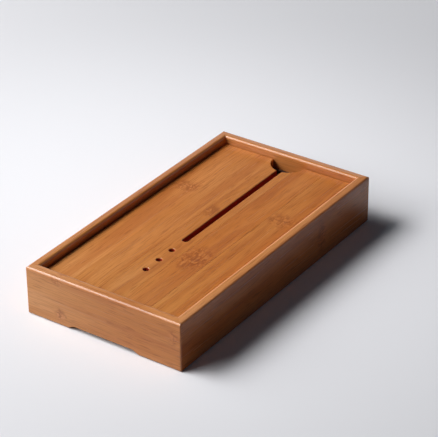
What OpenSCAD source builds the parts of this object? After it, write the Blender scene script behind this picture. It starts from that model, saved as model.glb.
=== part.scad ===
// Gongfu tea tray in laminated bamboo. Four mitred walls hold a base board in a groove.
// A water tray hangs by its rim on two cleats inside them, and the slotted tea board rests
// on that rim, sunk below the top of the walls. Both lift straight out.
// +X runs along the long walls, +Y across them, +Z up. The origin is the middle of the
// outline, on the surface that the tray stands on.

/* [Frame] */
// Length over the end walls
frame_l = 220; // [200:1:260]
// Width over the long walls
frame_w = 120; // [110:1:150]
// Height from the table to the rim
frame_h = 35; // [32:0.5:45]
// Thickness of the four walls
wall_t = 7; // [6:0.5:9]
// Radius on the outer top edges
rim_r = 2; // [0.5:0.1:3.4]
// Radius on the inner top edges
lip_r = 2; // [0.3:0.1:3]
// How far the top of a wall falls from its inner edge to its outer edge
rim_fall = 0.5; // [0:0.1:1]
// Radius on the outer bottom edges
foot_r = 1.5; // [0.5:0.1:2]
// Radius on the outer upright corners
corner_r = 1.2; // [0.5:0.1:2]

/* [Feet] */
// Length of each foot of the end walls, from the corner to the start of the arch
foot_l = 30; // [20:1:40]
// Height of the arch between the feet
arch_h = 3; // [2:0.5:5]
// Length of the S-curve at each end of the arch
arch_curve_l = 8; // [6:0.5:12]

/* [Corner splines] */
// Thickness of the spline across each mitre
spline_t = 2; // [1:0.1:2.5]
// Distance from the inner corner of the walls to the middle of the spline
spline_inset = 3.9; // [3:0.1:5]
// Wood left between the spline and the outer faces
spline_cover = 1.4; // [1:0.1:1.8]
// Wood left above the spline
spline_top_cover = 6; // [4:0.5:9]
// Wood left between the base board and the spline
spline_foot_cover = 1.5; // [1:0.5:4]
// Glue line round the spline
glue_gap = 0.05; // [0.02:0.01:0.1]

/* [Base board] */
// Thickness of the base board
base_t = 3; // [2:0.5:4]
// Depth of its groove in the walls
groove_d = 3; // [2:0.5:4]
// Wood left between the arch and the groove
groove_lip = 2; // [1.5:0.5:3]
// Room for the base board to swell, at each edge
base_swell = 0.3; // [0.1:0.1:0.8]
// Play over the base board in its groove
base_play = 0.1; // [0.05:0.05:0.3]

/* [Cleats] */
// Width of the cleats on the long walls
cleat_w = 5; // [4:0.5:8]
// Height of the cleats
cleat_h = 6; // [4:0.5:8]
// Gap between a cleat's end and the end wall
cleat_end_gap = 0.2; // [0.1:0.1:1]

/* [Water tray] */
// Thickness of the water tray's sheet
tray_t = 1.5; // [1:0.1:2.5]
// Gap from the water tray to the walls
tray_gap = 0.5; // [0.3:0.1:1]
// Gap from the basin to the cleats
basin_gap = 0.75; // [0.3:0.05:1.5]
// Gap from the basin to the base board
basin_lift = 0.5; // [0.3:0.1:0.9]
// Radius of the basin's upright corners, outside
basin_r = 6; // [4:0.5:12]
// Radius of the rim's corners
tray_rim_r = 3; // [1:0.5:4]

/* [Tea board] */
// Depth of the tea board's surface below the rim
recess = 5.5; // [3:0.5:8]
// Thickness of the tea board
board_t = 7; // [5:0.5:9]
// Gap from the tea board to the walls
board_gap = 0.5; // [0.3:0.1:1]
// Width of the front strip, which was cut down to fit
first_strip_w = 4; // [3:0.5:8]
// Width of a full strip
strip_w = 20; // [16:0.5:21]
// Chamfer on the tea board's top edges
board_break = 0.4; // [0.2:0.1:0.8]

/* [Drain] */
// Width of the drain slot
slot_w = 4; // [3:0.1:6]
// Length of the slot, from its closed end to the right edge of the tea board
slot_l = 125; // [100:0.5:130]
// Diameter of the drain holes
hole_d = 4; // [3:0.1:6]
// Distance from the middle of the slot's end to the first hole
hole_start = 15; // [10:0.5:18]
// Distance between the holes
hole_pitch = 14; // [9:0.5:16]
// Number of drain holes
hole_count = 3; // [1:1:3]
// Radius of the finger notch at the slot's open end
notch_r = 12.5; // [10:0.5:16]

/* [Battens] */
// Width of the battens under the tea board
batten_w = 12; // [8:0.5:16]
// Height of the battens
batten_h = 5; // [3:0.5:6]
// Distance from the finger notch to the right batten
batten_notch_gap = 6; // [3:0.5:12]
// Distance from a batten's end to the side of the basin
batten_end_gap = 2; // [1:0.5:6]

/* [Hidden] */
$fn = 64;
over = 1;            // how far a cutter runs past the surface that it cuts
strip_count = 6;
arch_steps = 16;     // straight pieces in each S-curve

inner_l = frame_l - 2 * wall_t;
inner_w = frame_w - 2 * wall_t;

// Heights, from the table up
base_z = arch_h + groove_lip;
base_top = base_z + base_t;
basin_z = base_top + basin_lift;
basin_floor = basin_z + tray_t;
board_top = frame_h - recess;
board_z = board_top - board_t;
tray_rim_z = board_z - tray_t;

// Corner splines: places along the mitre are counted from the outer corner
spline_mid = wall_t * sqrt(2) - spline_inset;
spline_reach = spline_mid - spline_t / 2 - spline_cover * sqrt(2);
spline_z = base_top + spline_foot_cover;
spline_top = frame_h - spline_top_cover;

// Water tray
tray_l = inner_l - 2 * tray_gap;
tray_w = inner_w - 2 * tray_gap;
basin_w = inner_w - 2 * cleat_w - 2 * basin_gap;
basin_inner_w = basin_w - 2 * tray_t;

// Tea board
board_l = inner_l - 2 * board_gap;
board_w = inner_w - 2 * board_gap;
slot_r = slot_w / 2;
slot_mid_x = board_l / 2 - slot_l + slot_r;
hole_r = hole_d / 2;
last_hole_x = slot_mid_x - hole_start - (hole_count - 1) * hole_pitch;
right_batten_x = board_l / 2 - notch_r - batten_notch_gap - batten_w / 2;
left_batten_x = (last_hole_x - hole_r - board_l / 2) / 2;

// Front edge of strip i of the tea board, from 1, and of the board's back edge after the last
function strip_y(i) =
    i == 1 ? -board_w / 2
    : i > strip_count ? board_w / 2
    : -board_w / 2 + first_strip_w + (i - 2) * strip_w;

// Cutter that rounds a corner at the origin, on a shape that fills the first quadrant
module corner_cut(r) {
    difference() {
        translate([-over, -over]) square(r + over);
        translate([r, r]) circle(r);
    }
}

// Rectangle about the origin with round corners
module round_rect(l, w, r) {
    square([l - 2 * r, w], center = true);
    square([l, w - 2 * r], center = true);
    for (x = [-1, 1], y = [-1, 1])
        translate([x * (l / 2 - r), y * (w / 2 - r)]) circle(r);
}

// Section of a wall: the outer face is at 0, the inner face at wall_t. Its top slopes outwards.
module wall_section() {
    crest = wall_t - lip_r;
    rim_z = min(frame_h, frame_h - rim_fall * (1 - rim_r / crest));
    difference() {
        polygon([[0, 0], [wall_t, 0], [wall_t, frame_h], [crest, frame_h], [0, frame_h - rim_fall]]);
        corner_cut(foot_r);
        translate([0, rim_z]) mirror([0, 1]) corner_cut(rim_r);
        translate([wall_t, frame_h]) rotate(180) corner_cut(lip_r);
        translate([wall_t - groove_d, base_z]) square([groove_d + over, base_t + base_play]);
    }
}

// One corner spline, for the outer corner of the frame at x, y; grown by gap for its slot
module spline(x, y, gap) {
    translate([x, y, 0]) rotate(atan2(-sign(y), -sign(x)))
        translate([spline_mid - spline_t / 2 - gap, -spline_reach - gap, spline_z - gap])
            cube([spline_t + 2 * gap, 2 * (spline_reach + gap), spline_top - spline_z + 2 * gap]);
}

// A wall along X, run long, on the front side of a frame that is across wide
module wall(run, across) {
    difference() {
        intersection() {
            translate([-run / 2, -across / 2, 0]) rotate([90, 0, 90])
                linear_extrude(run) wall_section();
            mitred_plan(run, across);
        }
        for (side = [0, 1]) mirror([side, 0, 0]) {
            translate([-run / 2, -across / 2, -over])
                linear_extrude(frame_h + 2 * over) corner_cut(corner_r);
            spline(-run / 2, -across / 2, glue_gap);
        }
    }
}

// Plan of a wall with its two mitres
module mitred_plan(run, across) {
    outer_x = run / 2 + over;
    inner_x = run / 2 - wall_t - over;
    outer_y = -across / 2 - over;
    inner_y = -across / 2 + wall_t + over;
    translate([0, 0, -over]) linear_extrude(frame_h + 2 * over)
        polygon([[-outer_x, outer_y], [outer_x, outer_y], [inner_x, inner_y], [-inner_x, inner_y]]);
}

// Outline of the arch under an end wall, which rises in an S-curve from each foot
module arch_outline() {
    half_w = frame_w / 2 - foot_l;
    rise = [for (i = [0 : arch_steps]) [
        half_w - arch_curve_l * i / arch_steps,
        arch_h * (1 - cos(180 * i / arch_steps)) / 2]];
    left_rise = [for (i = [arch_steps : -1 : 0]) [-rise[i][0], rise[i][1]]];
    polygon(concat([[half_w, -over]], rise, left_rise, [[-half_w, -over]]));
}

module end_wall() {
    difference() {
        wall(frame_w, frame_l);
        translate([0, -frame_l / 2 + wall_t + over, 0]) rotate([90, 0, 0])
            linear_extrude(wall_t + 2 * over) arch_outline();
    }
}

module front_wall() { color("#5a3020") wall(frame_l, frame_w); }
module back_wall() { color("#5a3020") rotate(180) wall(frame_l, frame_w); }
module left_end_wall() { color("#b07c58") rotate(-90) end_wall(); }
module right_end_wall() { color("#b07c58") rotate(90) end_wall(); }

// Hidden tongue in each mitre, numbered round the frame from the front left corner
module corner_spline(i) {
    corner = [[-1, -1], [1, -1], [1, 1], [-1, 1]][i - 1];
    color("#d0a070") spline(corner[0] * frame_l / 2, corner[1] * frame_w / 2, 0);
}

module base_board() {
    l = inner_l + 2 * (groove_d - base_swell);
    w = inner_w + 2 * (groove_d - base_swell);
    color("#a06a42") translate([-l / 2, -w / 2, base_z]) cube([l, w, base_t]);
}

module cleat() {
    l = inner_l - 2 * cleat_end_gap;
    color("#8a5634") translate([-l / 2, -inner_w / 2, tray_rim_z - cleat_h])
        cube([l, cleat_w, cleat_h]);
}
module front_cleat() { cleat(); }
module back_cleat() { mirror([0, 1, 0]) cleat(); }

// Moulded liner: a rim on the two long sides, and a basin between them
module water_tray() {
    color("#2b211d") difference() {
        union() {
            translate([0, 0, tray_rim_z]) linear_extrude(tray_t)
                round_rect(tray_l, tray_w, tray_rim_r);
            translate([0, 0, basin_z]) linear_extrude(board_z - basin_z)
                round_rect(tray_l, basin_w, basin_r);
        }
        translate([0, 0, basin_floor]) linear_extrude(board_z - basin_floor + over)
            round_rect(tray_l - 2 * tray_t, basin_inner_w, basin_r - tray_t);
    }
}

// Round cut through the tea board, with its top edge broken
module board_bore(r) {
    translate([0, 0, board_z - over]) cylinder(h = board_t + 2 * over, r = r);
    translate([0, 0, board_top - board_break])
        cylinder(h = board_break + over, r1 = r, r2 = r + board_break + over);
}

// Straight cut along X through the tea board, l long, with its top edges broken
module board_slot(r, l) {
    wide = r + board_break + over;
    translate([0, 0, board_top]) rotate([90, 0, 90]) linear_extrude(l)
        polygon([[-r, -board_t - over], [r, -board_t - over], [r, -board_break],
                 [wide, over], [-wide, over], [-r, -board_break]]);
}

// Chamfer cutter along X on a top edge of the tea board, l long
module edge_break(l) {
    side = board_break * sqrt(2);
    rotate([45, 0, 0]) cube([l, side, side], center = true);
}

// All that is cut out of the tea board: slot, holes, finger notch and broken edges
module board_cuts() {
    translate([slot_mid_x, 0, 0]) {
        board_bore(slot_r);
        board_slot(slot_r, board_l / 2 - slot_mid_x + over);
        for (i = [0 : hole_count - 1])
            translate([-hole_start - i * hole_pitch, 0, 0]) board_bore(hole_r);
    }
    translate([board_l / 2, 0, 0]) board_bore(notch_r);
    for (side = [-1, 1]) {
        translate([0, side * board_w / 2, board_top]) edge_break(board_l + 2 * over);
        translate([side * board_l / 2, 0, board_top]) rotate(90) edge_break(board_w + 2 * over);
    }
}

// Strip i of the edge-glued tea board, numbered from the front
module board_strip(i) {
    color(i % 2 == 0 ? "#c08450" : "#b87a46") difference() {
        translate([-board_l / 2, strip_y(i), board_z])
            cube([board_l, strip_y(i + 1) - strip_y(i), board_t]);
        board_cuts();
    }
}

// Batten across the underside of the tea board, inside the basin
module board_batten(x) {
    l = basin_inner_w - 2 * batten_end_gap;
    color("#8a5634") translate([x - batten_w / 2, -l / 2, board_z - batten_h])
        cube([batten_w, l, batten_h]);
}
module board_batten_left() { board_batten(left_batten_x); }
module board_batten_right() { board_batten(right_batten_x); }

front_wall();
back_wall();
left_end_wall();
right_end_wall();
for (i = [1:4])
    corner_spline(i);
base_board();
front_cleat();
back_cleat();
water_tray();
for (i = [1:strip_count])
    board_strip(i);
board_batten_left();
board_batten_right();
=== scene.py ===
"""Looks of the gongfu tea tray: lacquered bamboo pieces, a moulded water tray, floor, light and camera.

Every length is in metres unless a comment says millimetres, and every place is in the frame of
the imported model: +X along the long walls, +Y across them, +Z up, with the origin under the middle.
"""

from math import cos, pi, radians, sin

import bpy
from mathutils import Matrix, Vector


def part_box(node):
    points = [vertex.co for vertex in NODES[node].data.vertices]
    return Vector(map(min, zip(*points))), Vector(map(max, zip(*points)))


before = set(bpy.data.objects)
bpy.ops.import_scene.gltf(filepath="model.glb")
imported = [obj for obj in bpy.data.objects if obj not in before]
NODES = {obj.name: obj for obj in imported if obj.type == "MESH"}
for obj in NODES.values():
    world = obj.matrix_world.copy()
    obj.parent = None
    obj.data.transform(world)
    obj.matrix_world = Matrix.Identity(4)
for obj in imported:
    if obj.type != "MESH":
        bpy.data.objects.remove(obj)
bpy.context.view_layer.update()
MM = 0.001


# Helpers for node trees

MIX_FIRST, MIX_SECOND, MIX_RESULT = 6, 7, 2   # the sockets of a Mix node that hold colours


def add(tree, kind, inputs=None, **settings):
    """Adds a node, sets its settings, and links or sets each named input."""
    made = tree.nodes.new(kind)
    for name, value in settings.items():
        setattr(made, name, value)
    for name, value in (inputs or {}).items():
        if isinstance(value, bpy.types.NodeSocket):
            tree.links.new(value, made.inputs[name])
        else:
            made.inputs[name].default_value = value
    return made


def maths(tree, operation, *values):
    return add(tree, "ShaderNodeMath", dict(enumerate(values)), operation=operation).outputs[0]


def vector_maths(tree, operation, *values):
    made = add(tree, "ShaderNodeVectorMath", dict(enumerate(values)), operation=operation)
    return made.outputs["Value" if operation == "LENGTH" else "Vector"]


def combine(tree, **parts):
    """Makes a vector from X, Y and Z, each a socket. One that isn't given is 0."""
    return add(tree, "ShaderNodeCombineXYZ", parts).outputs[0]


def separate(tree, vector):
    return add(tree, "ShaderNodeSeparateXYZ", {"Vector": vector}).outputs


def remap(tree, value, low, high, to_low=0.0, to_high=1.0):
    """Maps low..high to to_low..to_high, with a smooth start and end and flat beyond them."""
    inputs = {"Value": value, "From Min": low, "From Max": high, "To Min": to_low, "To Max": to_high}
    return add(tree, "ShaderNodeMapRange", inputs, interpolation_type="SMOOTHSTEP").outputs["Result"]


def noise(tree, place, scale, detail=2.0, roughness=0.5, distortion=0.0):
    return add(tree, "ShaderNodeTexNoise", {
        "Vector": place, "Scale": scale, "Detail": detail, "Roughness": roughness, "Distortion": distortion,
    }).outputs["Fac"]


def blend_colours(tree, share, first, second, mode="MIX"):
    """Blends two colours, each a socket or three numbers. A share of 1 gives the second."""
    made = add(tree, "ShaderNodeMix", {"Factor": share}, data_type="RGBA", blend_type=mode)
    for slot, value in ((MIX_FIRST, first), (MIX_SECOND, second)):
        if isinstance(value, bpy.types.NodeSocket):
            tree.links.new(value, made.inputs[slot])
        else:
            made.inputs[slot].default_value = (*value, 1.0)
    return made.outputs[MIX_RESULT]


def toned(tree, colour, tone):
    """Multiplies a colour by a tone."""
    return blend_colours(tree, 1.0, colour, tone, "MULTIPLY")


def relief(tree, height, strength, distance):
    """Normals of a surface that stands up by a height field."""
    inputs = {"Strength": strength, "Distance": distance, "Height": height}
    return add(tree, "ShaderNodeBump", inputs).outputs[0]


def new_material(name):
    made = bpy.data.materials.new(name)
    made.use_nodes = True
    made.node_tree.nodes.clear()
    return made, made.node_tree


def output(tree, surface):
    add(tree, "ShaderNodeOutputMaterial", {"Surface": surface})


# Bamboo

HONEY = (0.680, 0.250, 0.064)        # pale wood
TAN = (0.620, 0.208, 0.043)          # darker wood, in a slow change with the pale
RUSSET = (0.500, 0.145, 0.030)       # broad bands along the grain
UMBER = (0.280, 0.070, 0.014)        # dark fibres
KNUCKLE_RED = (0.46, 0.125, 0.026)   # the wood round a knuckle
KNUCKLE_PALE = (0.76, 0.29, 0.085)   # its pale flecks
KNUCKLE_DARK = (0.30, 0.080, 0.020)  # its dark flecks, and the line over it
CUT_FACE_RED = (0.36, 0.042, 0.018)     # darker deep red for the cut faces of the slot and the holes

# Layers of the grain: features per metre along and across it, then detail and roughness of the noise
LAYERS = {
    "wander": (9, 30, 1, 0.5),
    "broad": (11, 75, 2, 0.5),
    "band": (6, 110, 1, 0.5),
    "streak": (13, 480, 3, 0.6),
    "fibre": (40, 1500, 3, 0.65),
    "bundle": (70, 1200, 1, 0.5),
    "tangle": (150, 340, 2, 0.6),
}
BROAD_EDGE = (0.30, 0.70)            # noise between which TAN passes into HONEY
# A layer's look is the noise at which it begins, that at which it is full, and its share there
BAND_LOOK = (0.50, 0.64, 0.55)
DARK_LAYERS = {                      # in UMBER
    "streak": (0.46, 0.76, 0.22),
    "fibre": (0.40, 0.72, 0.34),
    "bundle": (0.59, 0.68, 0.40),
}
SEED_STEP = (0.731, 0.417, 0.293)    # how far one step of the seed moves the grain

SWAY = 6 * MM               # how far the fibres wander to the side
SWERVE = 8 * MM             # how far they swerve along the grain at a knuckle
SIDE_SWERVE = 0.5           # and what share of that to the side
SWERVE_SCALE = 150          # swerves per metre
PATCH_EDGE = (0.45, 1.25)   # a knuckle's patch fades between these shares of its half size
PATCH_SHARE = 0.50          # of KNUCKLE_RED
RIDGE_EDGE = (0.02, 0.14)   # the line over the patch fades between these shares of its half length
RIDGE_SHARE = 0.50
TANGLE_TWIST = 1.2
PALE_FLECKS = (0.50, 0.38, 0.55)
DARK_FLECKS = (0.48, 0.60, 0.65)

SHEEN_FACING_UP = (0.70, 0.95)     # upward part of the normal over which a face takes the painted sheen tone
UPRIGHT = (0.30, 0.60)      # and up to which it counts as upright

DRAIN_REACH = 3 * MM        # the slot and the holes lie this near to the middle line
DRAIN_START = -75 * MM      # and past this place along it
CUT_FACE_FADE = 2 * MM
CUT_FACE_TOP_FADE = 0.5 * MM

LACQUER_IOR = 1.46
LACQUER_ROUGH = (0.20, 0.28)
VARIED = (0.3, 0.7)         # noise over which a roughness varies
RELIEF_STRENGTH = 0.15
RELIEF_HEIGHT = 0.08 * MM
FIBRE_RELIEF, STREAK_RELIEF = 0.6, 0.4


def layer(tree, grain, name, distortion=0.0):
    """One layer of the grain: noise that is stretched along it."""
    along, across, detail, roughness = LAYERS[name]
    stretched = vector_maths(tree, "MULTIPLY", grain, (along, across, across))
    return noise(tree, stretched, 1, detail, roughness, distortion)


def shown(tree, field, look):
    """How much of a layer shows, from its noise and its look."""
    begins, full, share = look
    return remap(tree, field, begins, full, 0, share)


def knuckle_fields(tree, along, side, seeded, knuckles):
    """Where the culm's nodes are: a patch field, a fine line field, and the way the fibres swerve."""
    swerve = maths(tree, "MULTIPLY_ADD", noise(tree, seeded, SWERVE_SCALE), SWERVE, -SWERVE / 2)
    moved = maths(tree, "ADD", along, swerve)
    patch, line = 0.0, 0.0
    for middle, middle_side, length, width, strength in knuckles:
        off = maths(tree, "SUBTRACT", moved, middle * MM)
        off = maths(tree, "DIVIDE", off, length * MM / 2)
        off_side = maths(tree, "SUBTRACT", side, middle_side * MM)
        off_side = maths(tree, "DIVIDE", off_side, width * MM / 2)
        away = vector_maths(tree, "LENGTH", combine(tree, X=off, Y=off_side))
        window = remap(tree, away, *PATCH_EDGE, strength, 0)
        ridge = remap(tree, maths(tree, "ABSOLUTE", off), *RIDGE_EDGE, 1, 0)
        patch = maths(tree, "MAXIMUM", patch, window)
        line = maths(tree, "MAXIMUM", line, maths(tree, "MULTIPLY", ridge, window))
    return patch, line, swerve


def darken_cut_faces(tree, body, split, facing_z, top):
    """Makes the upright faces of the slot and the holes, below the height top, a darker deep red."""
    upright = remap(tree, maths(tree, "ABSOLUTE", facing_z), *UPRIGHT, 1, 0)
    deep = remap(tree, split["Z"], top - CUT_FACE_TOP_FADE, top, 1, 0)
    inside = remap(tree, maths(tree, "ABSOLUTE", split["Y"]), DRAIN_REACH, DRAIN_REACH + CUT_FACE_FADE, 1, 0)
    past_start = remap(tree, split["X"], DRAIN_START - CUT_FACE_FADE, DRAIN_START)
    cut_face = maths(tree, "MULTIPLY", upright, deep)
    drain = maths(tree, "MULTIPLY", inside, past_start)
    return blend_colours(tree, maths(tree, "MULTIPLY", cut_face, drain), body, CUT_FACE_RED)


def bamboo(name, along, seed, tone=(1, 1, 1), across="Y", knuckles=(), painted_sheen_fade=None, painted_sheen_tone=None,
           drains_below=None):
    """Lacquered bamboo with its grain along X or Y.

    A knuckle is one of the culm's nodes, a mottled patch where the fibres swerve, with a fine
    dark line over it. It is given as its middle along and across the grain, its length and its
    width, all in millimetres, and its strength.
    Painted sheen along the grain is given as (from, to, tone): the wood takes on that paler tone between
    the two places.
    Faces that look up take a paler painted sheen tone, if one is given.
    With drains_below, a height, the cut faces of the slot and the holes below it turn a darker deep red.
    """
    made, tree = new_material(name)
    split = separate(tree, add(tree, "ShaderNodeTexCoord").outputs["Object"])
    other = {"X": "Y", "Y": "X"}[along]
    plain = combine(tree, X=split[along], Y=split[other], Z=split["Z"])
    seeded = vector_maths(tree, "ADD", plain, [seed * step for step in SEED_STEP])
    patch, line, swerve = knuckle_fields(tree, split[along], split[across], seeded, knuckles)

    # The fibres wander a little to the side, and more at a knuckle
    sway = maths(tree, "MULTIPLY_ADD", layer(tree, seeded, "wander"), SWAY, -SWAY / 2)
    side_swerve = maths(tree, "MULTIPLY", swerve, SIDE_SWERVE)
    sway = maths(tree, "ADD", sway, maths(tree, "MULTIPLY", patch, side_swerve))
    grain = vector_maths(tree, "ADD", seeded, combine(tree, Y=sway, Z=sway))

    body = blend_colours(tree, remap(tree, layer(tree, grain, "broad"), *BROAD_EDGE), TAN, HONEY)
    body = blend_colours(tree, shown(tree, layer(tree, grain, "band"), BAND_LOOK), body, RUSSET)
    body = blend_colours(tree, maths(tree, "MULTIPLY", patch, PATCH_SHARE), body, KNUCKLE_RED)
    fields = {kind: layer(tree, grain, kind) for kind in DARK_LAYERS}
    for kind, look in DARK_LAYERS.items():
        body = blend_colours(tree, shown(tree, fields[kind], look), body, UMBER)

    tangle = layer(tree, grain, "tangle", TANGLE_TWIST)
    for look, colour in ((PALE_FLECKS, KNUCKLE_PALE), (DARK_FLECKS, KNUCKLE_DARK)):
        flecks = maths(tree, "MULTIPLY", shown(tree, tangle, look), patch)
        body = blend_colours(tree, flecks, body, colour)
    body = blend_colours(tree, maths(tree, "MULTIPLY", line, RIDGE_SHARE), body, KNUCKLE_DARK)

    facing_z = separate(tree, add(tree, "ShaderNodeNewGeometry").outputs["Normal"])["Z"]
    # Painted sheen: faces that look up on the walls blend to a paler, bluer tone
    if painted_sheen_tone is not None:
        tone = blend_colours(tree, remap(tree, facing_z, *SHEEN_FACING_UP), tone, painted_sheen_tone)
    body = toned(tree, body, tone)
    # Painted sheen: the wood grows paler and bluer towards one end along the grain
    if painted_sheen_fade is not None:
        start, end, paler_by_sheen = painted_sheen_fade
        rises = float(end > start)
        share = remap(tree, split[along], min(start, end), max(start, end), 1 - rises, rises)
        body = blend_colours(tree, share, body, toned(tree, body, paler_by_sheen))
    if drains_below is not None:
        body = darken_cut_faces(tree, body, split, facing_z, drains_below)

    fibre_part = maths(tree, "MULTIPLY", fields["fibre"], FIBRE_RELIEF)
    streak_part = maths(tree, "MULTIPLY", fields["streak"], STREAK_RELIEF)
    height = maths(tree, "ADD", fibre_part, streak_part)
    shader = add(tree, "ShaderNodeBsdfPrincipled", {
        "Base Color": body, "IOR": LACQUER_IOR,
        "Roughness": remap(tree, fields["streak"], *VARIED, *LACQUER_ROUGH),
        "Normal": relief(tree, height, RELIEF_STRENGTH, RELIEF_HEIGHT),
    })
    output(tree, shader.outputs[0])
    return made


# Water tray

PLASTIC = (0.035, 0.014, 0.010)
PLASTIC_ROUGH = (0.38, 0.50)
PLASTIC_SPREAD = 0.15       # how far its colour varies, each way
GRAINS, CLOUDS = 2600, 40   # per metre
GRAIN_STRENGTH = 0.2
GRAIN_HEIGHT = 0.05 * MM


def plastic(name):
    """Dark moulded plastic with a fine matt grain."""
    made, tree = new_material(name)
    place = add(tree, "ShaderNodeTexCoord").outputs["Object"]
    cloud = noise(tree, place, CLOUDS)
    darker = [part * (1 - PLASTIC_SPREAD) for part in PLASTIC]
    paler = [part * (1 + PLASTIC_SPREAD) for part in PLASTIC]
    shader = add(tree, "ShaderNodeBsdfPrincipled", {
        "Base Color": blend_colours(tree, cloud, darker, paler),
        "Roughness": remap(tree, cloud, *VARIED, *PLASTIC_ROUGH),
        "Normal": relief(tree, noise(tree, place, GRAINS), GRAIN_STRENGTH, GRAIN_HEIGHT),
    })
    output(tree, shader.outputs[0])
    return made


# Pieces

WELD = 0.001 * MM
SOFT_EDGE = 0.12 * MM
BOARD_EDGE = 0.20 * MM
SHARP = radians(35)         # edges that turn more than this are softened


def dress(node, material, edge=SOFT_EDGE):
    """Gives a CAD node its material, and softens its edges with modifiers."""
    piece = NODES[node]
    piece.data.materials.clear()
    piece.data.materials.append(material)
    weld = piece.modifiers.new("weld", "WELD")
    weld.merge_threshold = WELD
    soften = piece.modifiers.new("soften", "BEVEL")
    soften.width = edge
    soften.segments = 2
    soften.limit_method = "ANGLE"
    soften.angle_limit = SHARP
    shade = piece.modifiers.new("shade", "WEIGHTED_NORMAL")
    shade.keep_sharp = False


# Tone and knuckles of each strip of the tea board, whose left end is paler by a painted sheen
BOARD_STRIPS = {
    1: ((0.87, 0.84, 0.74), []),
    2: ((0.86, 0.83, 0.70), [(34, -38, 18, 22, 0.85)]),
    3: ((0.89, 0.85, 0.78), [(-36, -18, 30, 22, 1.0)]),
    4: ((0.90, 0.91, 0.88), [(20, 7, 14, 10, 0.8)]),
    5: ((0.93, 0.94, 0.93), []),
    6: ((0.98, 0.99, 1.00), [(38, 40, 14, 21, 0.9)]),
}
# Painted sheen: the board grows paler and bluer towards its left end
BOARD_PAINTED_SHEEN = (-25 * MM, -95 * MM, (1.03, 1.17, 1.42))
BOARD_SEED_STEP = 3.1


def dress_tea_board():
    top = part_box("board_strip_3")[1].z
    for i, (tone, knuckles) in BOARD_STRIPS.items():
        wood = bamboo(f"board_bamboo_{i}", "X", BOARD_SEED_STEP * i, tone, knuckles=knuckles,
                      painted_sheen_fade=BOARD_PAINTED_SHEEN, drains_below=top)
        dress(f"board_strip_{i}", wood, BOARD_EDGE)
    batten_bamboo = bamboo("batten_bamboo", "Y", 89, (0.85, 0.85, 0.85))
    for node in ("board_batten_left", "board_batten_right"):
        dress(node, batten_bamboo)


def dress_frame():
    # Painted sheen: the tones for faces that look up make the tops of the walls paler and bluer
    dress("front_wall", bamboo(
        "front_wall_bamboo", "X", 31, (1.06, 0.87, 0.87), "Z", painted_sheen_tone=(1.08, 1.30, 2.0),
        knuckles=[(50, 17, 12, 24, 0.8), (101, 27, 6, 8, 0.8)]))
    dress("back_wall", bamboo(
        "back_wall_bamboo", "X", 47, across="Z", painted_sheen_tone=(0.87, 0.97, 1.2),
        knuckles=[(-38, 20, 12, 26, 0.8)]))
    # Painted sheen: the left end wall also grows paler and bluer towards its +Y end
    dress("left_end_wall", bamboo(
        "left_end_bamboo", "Y", 59, (0.92, 0.97, 1.16), "Z", painted_sheen_tone=(0.94, 1.10, 1.6),
        knuckles=[(35, 32, 9, 7, 0.6), (33, 8, 9, 10, 0.9), (-54, 23, 9, 11, 0.8)],
        painted_sheen_fade=(-35 * MM, 50 * MM, (1.14, 1.36, 1.75))))
    dress("right_end_wall", bamboo(
        "right_end_bamboo", "Y", 71, (0.88, 0.93, 1.12), "Z",
        knuckles=[(-12, 15, 12, 24, 0.8)]))
    inner_bamboo = bamboo("inner_bamboo", "X", 83, (0.8, 0.8, 0.8))
    for node in ("front_cleat", "back_cleat"):
        dress(node, inner_bamboo)
    dress("base_board", bamboo("base_bamboo", "X", 97, (0.9, 0.9, 0.9)))
    raw_bamboo = bamboo("raw_bamboo", "X", 101, (1.2, 1.25, 1.4))
    for i in range(1, 5):
        dress(f"corner_spline_{i}", raw_bamboo)


# Floor

FLOOR_RADIUS = 12.0
FLOOR_SIDES = 96
FLOOR_PALE = (0.860, 0.855, 0.883)     # where the camera or a mirror sees it
FLOOR_BOUNCE = (0.345, 0.345, 0.350)   # for the light that it throws back
LIGHT_POOL_MIDDLE = (0.08, 0.02, 0)          # painted pool of light: the floor is palest here
LIGHT_POOL_STRETCH = (1.2, 1, 1)             # and the painted light falls off sooner along X
LIGHT_POOL_EDGE = (0.08, 0.40)
LIGHT_POOL_LEVELS = (1.045, 0.84)
BACKDROP = (0.80, 0.80, 0.83)
BACKDROP_EDGE = (0.6, 1.6)             # the floor passes into the backdrop between these distances


def floor_material():
    """Pale floor that keeps the shadow near the object and stays pale far from it.

    Seen directly or mirrored it is near white, dimmed away from a painted pool of light. Light that it
    throws back is that of a grey floor.
    """
    made, tree = new_material("floor_paper")
    rays = add(tree, "ShaderNodeLightPath").outputs
    seen = maths(tree, "MAXIMUM", rays["Is Camera Ray"], rays["Is Glossy Ray"])
    seen = maths(tree, "MAXIMUM", seen, rays["Is Transmission Ray"])
    place = add(tree, "ShaderNodeTexCoord").outputs["Object"]
    away = vector_maths(tree, "SUBTRACT", place, LIGHT_POOL_MIDDLE)
    out = vector_maths(tree, "LENGTH", vector_maths(tree, "MULTIPLY", away, LIGHT_POOL_STRETCH))
    # Painted light: the seen floor colour dims away from the middle of the pool
    pale = toned(tree, FLOOR_PALE, remap(tree, out, *LIGHT_POOL_EDGE, *LIGHT_POOL_LEVELS))
    colour = blend_colours(tree, seen, FLOOR_BOUNCE, pale)
    diffuse = add(tree, "ShaderNodeBsdfDiffuse", {"Color": colour}).outputs[0]
    glow = add(tree, "ShaderNodeEmission", {"Color": (*BACKDROP, 1), "Strength": 1.0}).outputs[0]
    share = maths(tree, "MULTIPLY", remap(tree, out, *BACKDROP_EDGE), seen)
    output(tree, add(tree, "ShaderNodeMixShader", {0: share, 1: diffuse, 2: glow}).outputs[0])
    return made


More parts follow.
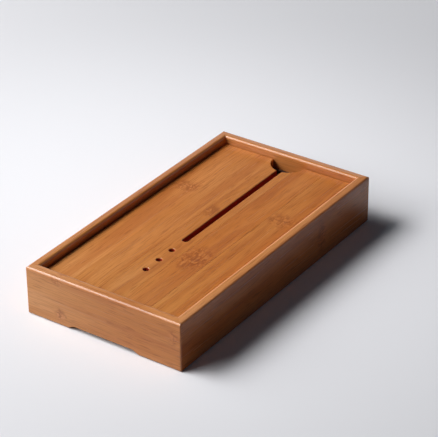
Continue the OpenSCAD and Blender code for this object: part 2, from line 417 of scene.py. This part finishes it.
def make_floor():
    turns = [2 * pi * i / FLOOR_SIDES for i in range(FLOOR_SIDES)]
    rim = [(FLOOR_RADIUS * cos(turn), FLOOR_RADIUS * sin(turn), 0) for turn in turns]
    mesh = bpy.data.meshes.new("floor")
    mesh.from_pydata(rim, [], [list(range(FLOOR_SIDES))])
    made = bpy.data.objects.new("floor", mesh)
    bpy.context.scene.collection.objects.link(made)
    made.data.materials.append(floor_material())


# Light and camera

LIT_POINT = (0, 0, 20 * MM)
# Square lamps round the lit point: direction, distance, side, watts
LAMPS = {
    "key": ((-0.29, 0.60, 0.76), 1.9, 0.85, 26),
    "wide_key": ((-0.35, 0.82, 0.52), 1.9, 1.8, 24),
    "left_fill": ((-0.70, 0.45, 0.55), 1.6, 0.6, 8),
}
AMBIENT = (0.022, 0.031, 0.040)
MIRRORED_LOW = (0.85, 0.85, 0.88)      # what a polished face mirrors near the horizon
MIRRORED_HIGH = (0.05, 0.05, 0.052)    # and above it
MIRRORED_EDGE = (0.34, 0.47)           # upward part of the direction between the two


def area_light(name, direction, distance, size, watts):
    lamp = bpy.data.lights.new(name, "AREA")
    lamp.shape = "SQUARE"
    lamp.size = size
    lamp.energy = watts
    made = bpy.data.objects.new(name, lamp)
    bpy.context.scene.collection.objects.link(made)
    way = Vector(direction).normalized()
    made.location = Vector(LIT_POINT) + way * distance
    made.rotation_euler = way.to_track_quat("Z", "Y").to_euler()


def make_world():
    """Weak ambient light. The camera sees the backdrop instead, and a polished face a pale band."""
    world = bpy.data.worlds.new("studio")
    bpy.context.scene.world = world
    world.use_nodes = True
    tree = world.node_tree
    tree.nodes.clear()
    rays = add(tree, "ShaderNodeLightPath").outputs
    up = separate(tree, add(tree, "ShaderNodeTexCoord").outputs["Generated"])["Z"]
    mirrored = blend_colours(tree, remap(tree, up, *MIRRORED_EDGE), MIRRORED_LOW, MIRRORED_HIGH)
    colour = blend_colours(tree, rays["Is Glossy Ray"], AMBIENT, mirrored)
    seen = maths(tree, "MAXIMUM", rays["Is Camera Ray"], rays["Is Transmission Ray"])
    colour = blend_colours(tree, seen, colour, BACKDROP)
    background = add(tree, "ShaderNodeBackground", {"Color": colour, "Strength": 1.0})
    add(tree, "ShaderNodeOutputWorld", {"Surface": background.outputs[0]})


# Camera of the photograph: direction, distance, aim and focal length were fitted to the tray's corners
AZIMUTH, ELEVATION, ROLL = radians(-55.14), radians(30.38), radians(-0.50)
CAMERA_DISTANCE = 1.3594
AIM = Vector((27.42, 6.89, 20)) * MM
PHOTO_WIDTH_PX = 438
FOCAL_PX = 2039.0
SENSOR_WIDTH = 36.0   # millimetres, as in Blender's own camera


def make_camera():
    back = Vector((sin(AZIMUTH) * cos(ELEVATION), -cos(AZIMUTH) * cos(ELEVATION), sin(ELEVATION)))
    level = Vector((cos(AZIMUTH), sin(AZIMUTH), 0))
    right = cos(ROLL) * level + sin(ROLL) * back.cross(level)
    above = back.cross(right)
    lens = bpy.data.cameras.new("camera")
    lens.sensor_width = SENSOR_WIDTH
    lens.lens = FOCAL_PX / PHOTO_WIDTH_PX * SENSOR_WIDTH
    made = bpy.data.objects.new("camera", lens)
    bpy.context.scene.collection.objects.link(made)
    turn = Matrix((right, above, back)).transposed().to_4x4()
    made.matrix_world = Matrix.Translation(AIM + back * CAMERA_DISTANCE) @ turn
    bpy.context.scene.camera = made


dress_tea_board()
dress_frame()
dress("water_tray", plastic("tray_plastic"))
make_floor()
make_world()
make_camera()
for name, settings in LAMPS.items():
    area_light(name, *settings)
bpy.context.scene.view_settings.view_transform = "Standard"
